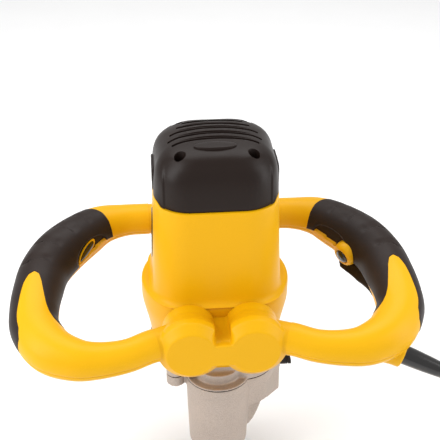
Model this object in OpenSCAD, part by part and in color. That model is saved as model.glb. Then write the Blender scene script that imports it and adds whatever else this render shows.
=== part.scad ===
// Hand-held paddle mixer power head: a vertical universal motor over a two-speed spur gearbox,
// carried by two closed loop handles. Millimetres. The origin is the centre of the spindle
// nose's lower end face, +Z runs up the spindle, +X to the right and -Y to the front boss.

/* [Motor] */
// Distance from the spindle axis back to the motor axis
motor_y = 35; // [34:0.5:35.5]
// Half width of the motor housing, left to right
housing_hx = 54; // [53:0.5:56]
// Half depth of the motor housing, front to back
housing_hy = 50; // [49:0.5:52]
// Corner radius of the motor housing
housing_r = 31; // [26:1:34]
// Wall of the yellow and black plastic housings
wall = 3; // [2.5:0.5:3.5]
// Outer radius of the fan housing below the motor
collar_r = 66; // [64:1:68]
// Outer radius of the cooling fan
fan_r = 46; // [40:1:52]
// Number of fan blades
fan_blades = 12; // [8:1:16]

/* [Heights] */
// Lower end of the cast gearbox neck
neck_z = 25; // [24:1:27]
// Split between gear case and gear cover
seam_z = 100; // [100:0.5:100.5]
// Lower edge of the fan housing
collar_z0 = 112; // [112:0.5:113]
// Top of the fan housing and foot of the motor housing
collar_z1 = 186; // [184:1:188]
// Split between motor housing and top cap
cap_z = 276; // [274:1:278]
// Crown of the top cap
top_z = 325; // [323:1:327]

/* [Gears] */
// Module of every gear
gear_m = 1.25; // [1.25:0.01:1.25]
// Teeth on the motor pinion
pinion_n = 8; // [8:1:8]
// Teeth on the large countershaft gear
counter_n = 40; // [40:1:40]
// Teeth on the low-speed countershaft pinion
low_pinion_n = 9; // [9:1:9]
// Teeth on the low-speed half of the sliding cluster
low_gear_n = 36; // [36:1:36]
// Teeth on the high-speed countershaft pinion
high_pinion_n = 17; // [17:1:17]
// Teeth on the high-speed half of the sliding cluster
high_gear_n = 28; // [28:1:28]
// Travel of the cluster from low to high speed
shift = 12; // [12:0.5:12.5]

/* [Handles] */
// Wall of the handle shells
shell_t = 2.5; // [2:0.25:3]
// Thickness of the rubber grip on the upper shell
grip_t = 1.5; // [1:0.25:2]
// Upward slope of the handle loops towards the rear
loop_slope = 0.228; // [0.2:0.002:0.25]
// Rings laid along each stretch between two route points
steps = 3; // [2:1:4]

/* [Spindle] */
// Radius of the spindle
spindle_r = 9; // [9:0.5:9]
// Radius of the threaded socket in the nose, as tapped for M14
socket_r = 6; // [5.9:0.05:6.1]
// Depth of the threaded socket
socket_depth = 22; // [18:1:24]

/* [Cord] */
// Diameter of the supply cord
cord_d = 9; // [8:0.5:9.5]

/* [Hidden] */
$fn = 64;
HULL_FN = 32;

yellow = [0.95, 0.68, 0.04];
black = [0.12, 0.11, 0.10];
cast = [0.70, 0.67, 0.63];
steel = [0.62, 0.63, 0.65];
dark_steel = [0.35, 0.35, 0.37];
copper = [0.72, 0.42, 0.22];
white_nylon = [0.88, 0.87, 0.83];

// Axes of the gear train in plan. The countershaft stands off both other axes by its gear pairs.
motor_a = [0, motor_y];
reach_motor = gear_m*(pinion_n + counter_n)/2;
reach_spindle = gear_m*(low_pinion_n + low_gear_n)/2;
counter_y = (motor_y*motor_y + reach_spindle*reach_spindle - reach_motor*reach_motor)/(2*motor_y);
counter_a = [sqrt(reach_spindle*reach_spindle - counter_y*counter_y), counter_y];
motor_to_counter = atan2(counter_a.y - motor_a.y, counter_a.x);
spindle_to_counter = atan2(counter_a.y, counter_a.x);

run = 0.03;          // radial clearance of a running fit
flange_z = seam_z - 10;
screw_x = 30;        // cap screws stand on a square about the motor axis
slot_r = 120;        // radius of the arched vent slots
back_y = motor_y + housing_hy;
collar_front = -19;  // flat on the front of the fan housing
boss_x = 26.5;
boss_z = 167;
boss_y = -60;
brush_z = 291;
selector_y = 25;
selector_z = 93;
throw_r = shift/2;   // crank radius of the selector pin
rail_a = [38.5, 8];
ears = [[-38.5, 2], [53, 42], [30, 66], [-30, 60]];   // lugs of the seam flange
bay_bolt = [51, 14];
case_bolts = concat(ears, [bay_bolt]);
// Plans of the fork's bay beside the spindle, of its room, and of the crank's room in the cover.
bay = [[24, -10], [43, 0], [59, 15], [59, 38.4], [22, 38.4]];
fork_room = [[20, -8.4], [41.1, 2.6], [45.6, 6.8], [45.6, 17.4], [48.8, 17.4], [48.8, 35.2],
             [25.3, 35.2], [25.3, 20], [20, 10]];
crank_room = [[38, 17.4], [48.8, 17.4], [48.8, 35.2], [38, 35.2]];

// Handle centre line on the right side, as x, y, z and tube radius.
route = [
  [40, -40, 169, 15], [60, -47, 169, 14], [80, -55, 167, 14], [104, -58, 166, 15.5],
  [123, -56, 167, 17.8], [143, -44, 169, 20.3], [156, -23, 174, 20.7], [158, -3, 179, 21],
  [156, 20, 184, 21.5], [151, 43, 189, 22], [138, 65, 194.5, 22.7], [118, 86, 199, 21],
  [101, 98, 202, 18], [80, 103, 203, 15], [60, 104, 203, 14.5], [40, 104, 203, 14.5],
];
last = len(route) - 1;
grip_s = [4.6, 12];        // stretch of the handle under the rubber grip
trigger_s = [7.4, 10.3];   // stretch of the trigger slot
seam_out = -8;             // angles round the tube: 0 is outward, 90 up, 180 inward
seam_in = 200;
slot_in = 250;             // lower edge of the trigger slot
trigger_phi = 229;
bezel_s = 9.9;
bezel_phi = 186;

// Supply cord, from the end of its boot down to the coil that lies level with the spindle nose.
cord_route = [
  [204, -69, 134], [215, -73, 129], [224, -75, 121], [231, -77, 110], [235, -78, 99],
  [238, -78, 82], [241, -79, 64], [244, -80, 46], [249, -81, 29], [260, -82, 16],
  [275, -83, 7], [292, -84, 4.5],
];
coil_c = [316, -25];
coil_turn_r = 50;
coil_rows = 3;
coil_layers = 2;
// The cord's end, from the top of the coil to the plug that lies on it.
tail_route = [[362, -45, 18], [367, -22, 22.5], [362, 2, 25], [352, 17, 27], [344, 23, 27.5], [336, 25, 27.5]];
plug_p = [336, 25, 27.5];
boot_from = [152, -50, 151];
boot_d = [0.8963, -0.3286, -0.2988];
boot_len = 58;
gland_depth = 8;

// ---------- curves ----------

function spline_at(p, s) =
  let (i = min(max(floor(s), 0), len(p) - 2), t = s - i,
       a = p[max(i - 1, 0)], b = p[i], c = p[i + 1], d = p[min(i + 2, len(p) - 1)])
  0.5*(2*b + (c - a)*t + (2*a - 5*b + 4*c - d)*t*t + (3*b - a - 3*c + d)*t*t*t);
function unit(v) = v/norm(v);
function xyz(p) = [p.x, p.y, p.z];
function heading(p, s) =
  unit(xyz(spline_at(p, min(s + 0.05, len(p) - 1.001))) - xyz(spline_at(p, max(s - 0.05, 0))));

// Directions across the handle at station s: outward from the loop, and up across its plane.
function outward(s) = unit(cross(heading(route, s), [0, -loop_slope, 1]));
function upward(s) = cross(outward(s), heading(route, s));
function around(s, phi) = cos(phi)*outward(s) + sin(phi)*upward(s);
function handle_point(s, phi, r) = xyz(spline_at(route, s)) + r*around(s, phi);
function handle_r(s) = spline_at(route, s)[3];
function stations(a, b) = [for (i = [0:round((b - a)*steps)]) a + (b - a)*i/round((b - a)*steps)];

// Solid skinned over rings of equally many points.
module skin(rings) {
  n = len(rings[0]);
  m = len(rings);
  points = [for (r = rings) each r];
  side = [for (j = [0:m - 2], i = [0:n - 1])
    let (a = j*n + i, b = j*n + (i + 1)%n, c = a + n, d = b + n) each [[a, b, d], [a, d, c]]];
  polyhedron(points, concat(side, [[for (i = [n - 1:-1:0]) i]],
    [[for (i = [0:n - 1]) (m - 1)*n + i]]), convexity = 8);
}

// Curved wall between radii r_in and r_out, from angle a to b round the handle.
function wall_ring(s, a, b, r_in, r_out, n) = concat(
  [for (i = [0:n]) handle_point(s, a + (b - a)*i/n, r_out)],
  [for (i = [n:-1:0]) handle_point(s, a + (b - a)*i/n, r_in)]);

// Round bar along a list of points, with its cross directions carried by a fixed up vector.
module tube_along(points, r, up, sides = 10) {
  m = len(points);
  skin([for (i = [0:m - 1])
    let (t = unit(points[min(i + 1, m - 1)] - points[max(i - 1, 0)]),
         u = unit(cross(t, up)), w = cross(u, t))
    [for (k = [0:sides - 1]) points[i] + r*(cos(360*k/sides)*u + sin(360*k/sides)*w)]]);
}

// Coil spring along +Z from z = 0 to len.
module coil_spring(r, wire, turns, len) {
  per = 12;
  n = turns*per;
  skin([for (i = [0:n])
    let (a = 360*i/per, z = wire + (len - 2*wire)*i/n)
    [for (k = [0:7]) [(r + wire*cos(45*k))*cos(a), (r + wire*cos(45*k))*sin(a), z + wire*sin(45*k)]]]);
}

module both_sides() {
  children();
  mirror([1, 0, 0]) children();
}

// Put local +Z along direction d at point p.
module aim(p, d) {
  translate(p) rotate([0, acos(d.z/norm(d)), atan2(d.y, d.x)]) children();
}

module tube(r_out, r_in, z0, z1) {
  translate([0, 0, z0]) difference() {
    cylinder(r = r_out, h = z1 - z0);
    translate([0, 0, -1]) cylinder(r = r_in, h = z1 - z0 + 2);
  }
}

module rod(r, z0, z1) {
  translate([0, 0, z0]) cylinder(r = r, h = z1 - z0);
}

module rounded_rect(hx, hy, r) {
  square([2*hx, 2*(hy - r)], center = true);
  square([2*(hx - r), 2*hy], center = true);
  for (x = [-1, 1], y = [-1, 1]) translate([x*(hx - r), y*(hy - r)]) circle(r);
}

// ---------- gears ----------

pressure = 20;
backlash = 0.22;
function inv(a) = tan(a)*180/PI - a;
// Half the angle that a tooth of n teeth with shift x covers at radius r.
function tooth_half(n, x, r) =
  let (rp = gear_m*n/2, rb = rp*cos(pressure), rr = max(r, rb))
  90/n + (2*x*tan(pressure) - backlash/gear_m)/n*180/PI + inv(pressure) - inv(acos(min(1, rb/rr)));
function gear_tip(n, x) = gear_m*(n/2 + 0.9 + x);
function gear_root(n, x) = gear_m*(n/2 - 1.25 + x);
// Outline of a gear whose first tooth stands at angle 0.
function gear_outline(n, x) =
  let (tip = gear_tip(n, x), root = gear_root(n, x), k = 4)
  [for (i = [0:n - 1]) let (c = 360*i/n) each concat(
    [for (j = [0:k]) let (r = root + (tip - root)*j/k, a = c - tooth_half(n, x, r))
      [r*cos(a), r*sin(a)]],
    [for (j = [k:-1:0]) let (r = root + (tip - root)*j/k, a = c + tooth_half(n, x, r))
      [r*cos(a), r*sin(a)]])];

module gear(n, x, z0, z1, turn) {
  translate([0, 0, z0]) rotate(turn) linear_extrude(z1 - z0) polygon(gear_outline(n, x));
}

// A pinion stands with a tooth towards its gear, and the gear with a gap towards the pinion.
shift_8 = 0.4;
shift_9 = 0.35;

// ---------- motor unit ----------

module top_cap() {
  roof = 4;
  color(black) translate([0, motor_y, 0]) difference() {
    union() {
      translate([0, 0, cap_z]) linear_extrude(32) rounded_rect(52.5, 50, 31);
      hull() {
        translate([0, 0, cap_z + 31.9]) linear_extrude(0.1) rounded_rect(52.5, 50, 31, $fn = HULL_FN);
        translate([0, 0, top_z - 7]) linear_extrude(0.1) rounded_rect(50, 47.5, 29, $fn = HULL_FN);
        translate([0, 0, top_z - 0.1]) linear_extrude(0.1) rounded_rect(43, 41, 26, $fn = HULL_FN);
      }
    }
    difference() {
      union() {
        translate([0, 0, cap_z - 1]) linear_extrude(36) rounded_rect(49.5, 47, 28);
        translate([0, 0, cap_z + 34.9]) linear_extrude(top_z - roof - cap_z - 34.9)
          rounded_rect(44, 42, 26);
      }
      rod(14, 303, top_z);
      for (x = [-1, 1], y = [-1, 1]) translate([x*screw_x, y*screw_x, 0]) rod(7.5, cap_z - 2, top_z);
    }
    rod(11.05, 302, 314);
    rod(6, 313, 317);
    for (x = [-1, 1], y = [-1, 1]) translate([x*screw_x, y*screw_x, 0]) {
      rod(5, 292, top_z + 1);
      rod(2.3, cap_z - 3, 293);
    }
    vent_slots();
    for (s = [-1, 1]) translate([s*46, 0, brush_z]) rotate([0, 90, 0]) cylinder(r = 9, h = 20, center = true);
  }
}

module vent_slots() {
  for (i = [0:4]) {
    apex = 37 - 8.5*i;
    half = (i == 0 || i == 1) ? 20 : (i == 4 ? 33 : 36);
    translate([0, 0, top_z - 6]) linear_extrude(10) intersection() {
      translate([0, apex - slot_r]) difference() {
        circle(slot_r, $fn = 180);
        circle(slot_r - 4.2, $fn = 180);
      }
      square([2*half, 200], center = true);
    }
  }
}

module cap_screws() {
  color(dark_steel) translate([0, motor_y, 0])
    for (x = [-1, 1], y = [-1, 1]) translate([x*screw_x, y*screw_x, 0]) difference() {
      union() {
        rod(2, 258, 293);
        rod(4.2, 292, 296);
      }
      translate([0, 0, 294]) cylinder(r = 2.2, h = 3, $fn = 6);
    }
}

module brush_caps() {
  color(black) both_sides() translate([0, motor_y, brush_z]) rotate([0, 90, 0]) difference() {
    rod(8.9, 48, 53.2);
    rod(6.2, 47, 50);
    translate([-8, -0.8, 52.4]) cube([16, 1.6, 3]);
  }
}

module motor_housing() {
  color(yellow) translate([0, motor_y, 0]) difference() {
    union() {
      difference() {
        translate([0, 0, collar_z1]) linear_extrude(cap_z - collar_z1)
          rounded_rect(housing_hx, housing_hy, housing_r);
        translate([0, 0, collar_z1 + 4]) linear_extrude(cap_z - collar_z1)
          rounded_rect(housing_hx - wall, housing_hy - wall, housing_r - wall);
      }
      for (x = [-1, 1], y = [-1, 1]) {
        translate([x*screw_x, y*screw_x, 0]) rod(6.5, 250, cap_z);
        translate([x*37, y*35, 263]) rotate(45*x*y) cube([14, 4, 24], center = true);
      }
    }
    rod(42, collar_z1 - 1, collar_z1 + 6);
    for (x = [-1, 1], y = [-1, 1]) translate([x*screw_x, y*screw_x, 0]) rod(2.05, 255, cap_z + 1);
    for (x = [-1, 1], z = [196, 210]) translate([x*20, housing_hy, z]) rotate([90, 0, 0])
      cylinder(r = 2.2, h = 20, center = true);
  }
}

module side_plate() {
  color(black) translate([-housing_hx - 1.2, motor_y - 14, 205]) cube([1.2, 28, 46]);
}

module collar_shape(inset, z0, z1) {
  intersection() {
    translate([0, motor_y, 0]) rod(collar_r - inset, z0, z1);
    translate([-100, collar_front + inset, z0 - 1]) cube([200, 200, z1 - z0 + 2]);
  }
}

module fan_housing() {
  color(yellow) difference() {
    collar_shape(0, collar_z0, collar_z1);
    collar_shape(3.5, collar_z0 - 1, collar_z1 - 4);
    translate([0, motor_y, 0]) rod(42, collar_z1 - 5, collar_z1 + 1);
    for (x = [-1, 1], z = [155, 176]) translate([x*boss_x, collar_front, z]) rotate([90, 0, 0])
      cylinder(r = 2.2, h = 20, center = true);
  }
}

module boss_arm(a, b) {
  rings = [for (s = stations(a, b)) [for (k = [0:23]) handle_point(s, 15*k, handle_r(s))]];
  skin(rings);
}

module front_boss() {
  color(yellow) difference() {
    union() {
      both_sides() {
        translate([boss_x, collar_front, boss_z]) rotate([90, 0, 0]) cylinder(r = 28, h = 33);
        translate([boss_x, collar_front - 33, boss_z]) rotate([90, 0, 0]) cylinder(r1 = 28, r2 = 20.3, h = 8);
        boss_arm(0, 1);
      }
      translate([-14, boss_y + 2, boss_z - 20]) cube([28, 30, 38]);
    }
    both_sides() for (z = [155, 176]) translate([boss_x, collar_front + 1, z]) rotate([90, 0, 0])
      cylinder(r = 2.05, h = 28);
  }
}

module boss_screws() {
  color(dark_steel) both_sides() for (z = [155, 176])
    translate([boss_x, collar_front + 3.5, z]) rotate([90, 0, 0]) {
      cylinder(r = 2, h = 26);
      translate([0, 0, -3]) cylinder(r = 4, h = 3);
    }
}

module rear_bracket() {
  color(yellow) difference() {
    union() {
      translate([-44, back_y, 187]) cube([88, 34.5, 32]);
      both_sides() boss_arm(last - 1, last);
    }
    both_sides() for (z = [196, 210]) translate([20, back_y - 1, z]) rotate([-90, 0, 0])
      cylinder(r = 2.05, h = 20);
  }
}

module bracket_screws() {
  color(dark_steel) both_sides() for (z = [196, 210])
    translate([20, back_y - wall, z]) rotate([-90, 0, 0]) {
      cylinder(r = 2, h = 20);
      translate([0, 0, -3]) cylinder(r = 4, h = 3);
    }
}

// ---------- handles ----------

function under_grip(s) = s > grip_s[0] - 0.001 && s < grip_s[1] + 0.001;

module upper_shell() {
  function outer(s, on) = handle_r(s) - (on ? grip_t : 0);
  function rings(a, b, on) =
    [for (s = stations(a, b)) wall_ring(s, seam_out, seam_in, handle_r(s) - grip_t - shell_t, outer(s, on), 10)];
  skin(concat(rings(1, grip_s[0], false), rings(grip_s[0], grip_s[1], true),
    rings(grip_s[1], last - 1, false)));
}

module lower_shell(slotted) {
  function start(s) = slotted && s > trigger_s[0] && s < trigger_s[1] ? slot_in : seam_in;
  function rings(a, b) =
    [for (s = stations(a, b)) wall_ring(s, start((a + b)/2), 360 + seam_out,
      handle_r(s) - grip_t - shell_t, handle_r(s), 8)];
  skin(concat(rings(1, trigger_s[0]), rings(trigger_s[0], trigger_s[1]), rings(trigger_s[1], last - 1)));
}

module grip() {
  skin([for (s = stations(grip_s[0], grip_s[1]))
    wall_ring(s, seam_out, seam_in, handle_r(s) - grip_t, handle_r(s), 10)]);
}

module right_upper_shell() { color(yellow) upper_shell(); }
module right_lower_shell() {
  color(yellow) {
    difference() {
      lower_shell(true);
      aim(boot_from - 14*boot_d, boot_d) cylinder(r = 9, h = 40);
    }
    cord_neck();
  }
}
module right_grip() { color(black) grip(); }
module left_upper_shell() { color(yellow) mirror([1, 0, 0]) upper_shell(); }
module left_lower_shell() { color(yellow) mirror([1, 0, 0]) lower_shell(false); }
module left_grip() { color(black) mirror([1, 0, 0]) grip(); }

module handle_screws() {
  color(dark_steel) both_sides() for (s = [2.3, 5.2, 11.6, 12.8])
    aim(handle_point(s, 270, handle_r(s) + 0.4), upward(s)) difference() {
      cylinder(r = 3.4, h = 1.6);
      translate([0, 0, -0.1]) cylinder(r = 1.5, h = 1, $fn = 6);
    }
}

module left_window() {
  mirror([1, 0, 0]) color(black)
    aim(handle_point(bezel_s + 0.5, bezel_phi - 10, handle_r(bezel_s + 0.5)), around(bezel_s + 0.5, bezel_phi - 10))
      intersection() {
        translate([-7, 0, -1.5]) cylinder(r = 16, h = 3);
        translate([7, 0, -1.5]) cylinder(r = 16, h = 3);
      }
}

// ---------- switch ----------

bezel_p = handle_point(bezel_s, bezel_phi, handle_r(bezel_s));
bezel_d = around(bezel_s, bezel_phi);
pin_s = trigger_s[0] + 0.28;
pin_p = handle_point(pin_s, trigger_phi, handle_r(pin_s) - 7);
pin_d = around(pin_s, trigger_phi + 90);

module lock_bezel() {
  color(yellow) aim(bezel_p, bezel_d) difference() {
    union() {
      rod(12, -4, 0.1);
      cylinder(r1 = 12, r2 = 9.6, h = 5.5);
    }
    rod(6.7, -0.5, 8);
  }
}

module lock_button() {
  color(black) aim(bezel_p, bezel_d) {
    rod(6.4, 3.4, 6.6);
    translate([0, 0, 6.5]) cylinder(r1 = 6.4, r2 = 4.6, h = 1.6);
  }
}

module lock_spring() {
  color(steel) aim(bezel_p, bezel_d) translate([0, 0, -0.4]) coil_spring(3.5, 0.4, 4, 3.7);
}

// Lever that stands little proud at its pin and most at its free end.
module trigger() {
  w = 4;
  low = trigger_s[0] + 0.2;
  high = trigger_s[1] - 0.14;
  function lift(s) = 2 + 7.5*sin(90*min(1, (s - low)/(0.55*(high - low))));
  function bar(s) = let (r = handle_r(s), c = handle_point(s, trigger_phi, 0), d = around(s, trigger_phi),
      e = around(s, trigger_phi + 90), top = lift(s))
    [c + (r - 6)*d - w*e, c + (r + top - 1.6)*d - w*e, c + (r + top)*d - (w - 1.6)*e,
     c + (r + top)*d + (w - 1.6)*e, c + (r + top - 1.6)*d + w*e, c + (r - 6)*d + w*e];
  color(black) difference() {
    union() {
      skin([for (s = stations(low, high)) bar(s)]);
      aim(pin_p, pin_d) cylinder(r = 4, h = 2*w, center = true);
    }
    aim(pin_p, pin_d) cylinder(r = 1.55, h = 20, center = true);
  }
}

module trigger_pin() {
  color(steel) aim(pin_p, pin_d) cylinder(r = 1.5, h = 15, center = true);
}

switch_s = 8.5;
module switch_module() {
  color(black) difference() {
    aim(handle_point(switch_s, trigger_phi + 180, 4), heading(route, switch_s))
      cylinder(r = 9, h = 38, center = true);
    aim(handle_point(switch_s, trigger_phi, 6), around(switch_s, trigger_phi))
      cylinder(r = 4, h = 6, center = true);
  }
}

module trigger_spring() {
  color(steel) aim(handle_point(switch_s, trigger_phi, 4), around(switch_s, trigger_phi))
    coil_spring(2.6, 0.4, 5, handle_r(switch_s) - 10.2);
}

// ---------- cord ----------

// Yellow neck on the right handle that clamps the cord's boot.
module cord_neck() {
  aim(boot_from - 10*boot_d, boot_d) difference() {
    cylinder(r1 = 12.5, r2 = 10.5, h = 10 + gland_depth);
    translate([0, 0, -1]) cylinder(r = 7.5, h = 30);
  }
}

module cord_boot() {
  color(black) aim(boot_from - 4*boot_d, boot_d) difference() {
    union() {
      cylinder(r = 7.4, h = 4 + gland_depth);
      translate([0, 0, 4 + gland_depth]) cylinder(r1 = 7, r2 = 6, h = boot_len - gland_depth);
    }
    translate([0, 0, boot_len - 6]) cylinder(r = cord_d/2, h = 20);
  }
}

module cord() {
  color(black) for (r = [cord_route, tail_route]) {
    pts = [for (i = [0:len(r) - 2], t = [0, 0.5]) spline_at(r, i + t)];
    tube_along(concat(pts, [r[len(r) - 1]]), cord_d/2, [0.1, 1, 0.3], 10);
  }
}

module cord_coil() {
  half_w = coil_rows*cord_d/2;
  tall = coil_layers*cord_d;
  color(black) translate([coil_c.x, coil_c.y, 0]) difference() {
    rod(coil_turn_r + half_w, 0, tall);
    rod(coil_turn_r - half_w, -1, tall + 1);
  }
}

module plug() {
  color(black) translate(plug_p) rotate([0, -90, 0]) {
    cylinder(r1 = 6, r2 = 9.5, h = 16);
    rod(9.5, 15.9, 38);
  }
}

module plug_pins() {
  color(steel) translate(plug_p) both_sides_y() translate([-38, 5.2, 0]) rotate([0, -90, 0]) rod(2.2, 0, 19);
}

module both_sides_y() {
  children();
  mirror([0, 1, 0]) children();
}

// ---------- gearbox castings ----------

module flange_outline(grow) {
  polygon([ears[0], bay_bolt, ears[1], ears[2], ears[3]]);
  for (e = ears) translate(e) circle(8.5 + grow);
  circle(29.6 + grow);
  translate(counter_a) circle(30 + grow);
  translate([0, 40]) circle(30 + grow);
  polygon([[26, -11.5], [43.5, -4.2], [59.4, 15], [59.4, 38], [22, 38]]);
}

module bolt_holes(r, z0, z1) {
  for (e = case_bolts) translate([e.x, e.y, 0]) rod(r, z0, z1);
}

module plan_block(plan, z0, z1) {
  translate([0, 0, z0]) linear_extrude(z1 - z0) polygon(plan);
}

// Web that carries the bay's weight down to the neck.
module case_rib() {
  translate([0, 8, 0]) rotate([90, 0, 0]) linear_extrude(10)
    polygon([[20, 34], [28.6, 36], [33, 43], [36.6, 52], [39, 60], [40.4, 66], [20, 66]]);
}

module gear_case() {
  color(cast) difference() {
    union() {
      translate([0, 0, neck_z]) cylinder(r1 = 26.8, r2 = 28.2, h = 40);
      translate([0, 0, neck_z + 40]) cylinder(r1 = 28.2, r2 = 29.2, h = seam_z - neck_z - 40);
      translate([counter_a.x, counter_a.y, 0]) rod(17, 52, seam_z);
      plan_block(bay, 63, seam_z - 1);
      case_rib();
      translate([0, 0, flange_z]) linear_extrude(seam_z - flange_z) flange_outline(0);
    }
    rod(24.6, 62, seam_z + 1);
    rod(20.05, 30, 63);
    rod(17, 26, 31);
    rod(12.5, neck_z - 1, 27);
    rod(19, neck_z - 1, 30);
    translate([counter_a.x, counter_a.y, 0]) {
      rod(13, 64, seam_z + 1);
      rod(9.55, 56, 65);
    }
    plan_block(fork_room, 66, seam_z + 1);
    translate([rail_a.x, rail_a.y, 0]) rod(3.05, 64.7, 67);
    translate([47, selector_y, selector_z]) rotate([0, 90, 0]) cylinder(r = 4.05, h = 20);
    translate([52.5, selector_y, selector_z]) rotate([-90, 0, 0]) cylinder(r = 1.6, h = 7.3);
    translate([0, 0, flange_z + 1]) linear_extrude(20) intersection() {
      translate([0, 38]) circle(26);
      translate([-40, 20]) square([80, 60]);
    }
    bolt_holes(2.6, flange_z - 1, seam_z + 1);
    bolt_holes(4.4, flange_z - 1, flange_z + 4.8);
  }
}

module case_gasket() {
  color(black) translate([0, 0, seam_z]) linear_extrude(0.6) difference() {
    flange_outline(-0.4);
    circle(24.6);
    translate(counter_a) circle(27.2);
    polygon(fork_room);
    translate([0, 38]) circle(26);
    for (e = case_bolts) translate(e) circle(3);
  }
}

cover_z = seam_z + 0.6;
module gear_cover() {
  color(cast) difference() {
    union() {
      translate([0, 0, cover_z]) linear_extrude(9.4) difference() {
        flange_outline(0);
        difference() {
          translate([-27, -40]) square([54, 32]);
          circle(21);
        }
      }
      translate([0, 0, cover_z]) linear_extrude(1.8) flange_outline(0);
      rod(22, cover_z, 112);
      translate([counter_a.x, counter_a.y, 0]) rod(30, cover_z, 134);
      translate([counter_a.x, counter_a.y, 0]) rod(12.5, 120, 142);
      translate([0, motor_y, 0]) rod(20, cover_z, 147);
      intersection() {
        translate([0, motor_y, 0]) rod(61, 113, 117);
        translate([-80, -15, 112]) cube([160, 120, 6]);
      }
    }
    rod(19.6, cover_z - 1, 102.4);
    rod(19, 102, 110.4);
    plan_block(crank_room, cover_z - 1, 106.6);
    translate([0, 38, cover_z - 1]) rod(17, 0, 5);
    translate([counter_a.x, counter_a.y, 0]) {
      rod(13, cover_z - 1, 112.5);
      rod(27.2, 112, 131);
      rod(9.55, 130, 139.5);
    }
    translate([0, motor_y, 0]) {
      rod(9, 104, 135);
      rod(16.05, 134, 148);
    }
    translate([rail_a.x, rail_a.y, 0]) rod(3.05, 100, 109.2);
    bolt_holes(2.6, cover_z - 1, 109.4);
  }
}

module case_screws() {
  color(dark_steel) for (e = case_bolts) translate([e.x, e.y, 0]) difference() {
    union() {
      rod(2.5, flange_z + 4, 109);
      rod(4.2, flange_z + 0.6, flange_z + 4.7);
    }
    translate([0, 0, flange_z]) cylinder(r = 2.4, h = 3, $fn = 6);
  }
}

module bearing_plate() {
  color(cast) difference() {
    rod(18.9, 102.5, 110.3);
    rod(14.05, 102, 111);
    translate([counter_a.x, counter_a.y, 0]) rod(13.2, 101, 112);
    for (a = [100:80:260]) rotate(a) translate([16.5, 0, 0]) rod(1.2, 102, 111);
  }
}

// ---------- selector ----------

selector_p = [0, selector_y, selector_z];
module selector_knob() {
  color(black) translate(selector_p) rotate([0, 90, 0]) {
    rod(4, 48.2, 62);
    rod(7, 60, 67);
    translate([-1.6, -9, 66.9]) cube([3.2, 18, 3]);
    rod(6.4, 45.2, 48.4);
    translate([throw_r, 0, 0]) rod(2, 39, 46);
  }
}

module selector_detent() {
  color(steel) translate([52.5, selector_y + 5.6, selector_z]) sphere(1.5);
}

module shift_rail() {
  color(steel) translate([rail_a.x, rail_a.y, 0]) rod(3, 64.8, 109);
}

// Fork on its rail. Its arm passes the countershaft between the two pinions, and the slotted
// lug beside the crank pin lets the pin swing as the fork rises.
module shift_fork() {
  z0 = 76.9;
  h = 4.2;
  pin_z = selector_z - throw_r;
  color(cast) difference() {
    union() {
      translate([rail_a.x, rail_a.y, 0]) rod(5, z0 - 8, z0 + h);
      translate([0, 0, z0]) linear_extrude(h) difference() {
        union() {
          rotate(-14) intersection() {
            circle(22.5);
            translate([-9, -40]) square([60, 45]);
          }
          polygon([[16, -6], [24, -4], [38, 3], [38, 9], [16, 9]]);
        }
        circle(14.5);
      }
      translate([40, 8, z0]) cube([4.9, 20, h]);
      translate([40, 20, z0]) cube([4.9, 14.9, pin_z + 5 - z0]);
    }
    translate([rail_a.x, rail_a.y, 0]) rod(3.06, 50, 120);
    translate([counter_a.x, counter_a.y, 0]) rod(4.6, 60, 120);
    translate([38, 22.2, pin_z - 3.6]) cube([8, 11.2, 7.2]);
  }
}

// ---------- motor internals ----------

module armature_shaft() {
  color(steel) translate([0, motor_y, 0]) {
    gear(pinion_n, shift_8, 115.5, 131.5, motor_to_counter);
    rod(7.5, 131, 186);
    rod(6, 185, 280);
    rod(4, 279, 314);
  }
}

module armature_core() {
  slots = 12;
  color(dark_steel) translate([0, motor_y, 0]) difference() {
    rod(24, 194, 236);
    rod(6.05, 193, 237);
    for (i = [0:slots - 1]) rotate(360*i/slots) translate([20, -1.4, 193]) cube([5, 2.8, 44]);
  }
}

module armature_windings() {
  color(copper) translate([0, motor_y, 0]) {
    difference() {
      union() {
        translate([0, 0, 184]) cylinder(r1 = 17, r2 = 21, h = 9.9);
        translate([0, 0, 236.1]) cylinder(r1 = 21, r2 = 15, h = 20);
      }
      rod(7.6, 183, 195);
      rod(6.1, 235, 258);
    }
  }
}

module commutator() {
  bars = 24;
  color(copper) translate([0, motor_y, 0]) difference() {
    rod(14, 280, 300);
    rod(4.05, 279, 301);
    for (i = [0:bars - 1]) rotate(360*i/bars) translate([13, -0.3, 279]) cube([2, 0.6, 22]);
  }
}

module cooling_fan() {
  color(black) translate([0, motor_y, 0]) difference() {
    union() {
      rod(fan_r, 160, 162.5);
      rod(12, 154, 176);
      for (i = [0:fan_blades - 1]) rotate(360*i/fan_blades) translate([16, -1, 162]) cube([fan_r - 17, 2, 13]);
    }
    rod(7.55, 153, 177);
  }
}

module bearing(r_out, r_in, z0, z1) {
  difference() {
    tube(r_out, r_in, z0, z1);
    for (z = [z0, z1]) translate([0, 0, z]) difference() {
      cylinder(r = r_out - (r_out - r_in)*0.28, h = 0.8, center = true);
      cylinder(r = r_in + (r_out - r_in)*0.28, h = 2, center = true);
    }
  }
}

module motor_bearing_lower() {
  color(steel) translate([0, motor_y, 0]) bearing(16, 7.5 + run, 135, 145);
}

module motor_bearing_upper() {
  color(steel) translate([0, motor_y, 0]) bearing(11, 4 + run, 304, 312);
}

module stator_core() {
  color(dark_steel) translate([0, motor_y, 0]) difference() {
    rod(46.5, 196, 234);
    rod(24.8, 195, 235);
    for (a = [0, 180]) rotate(a) translate([0, 0, 195]) linear_extrude(40) difference() {
      circle(40);
      translate([-12, -50]) square([24, 100]);
      circle(28);
    }
  }
}

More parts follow.
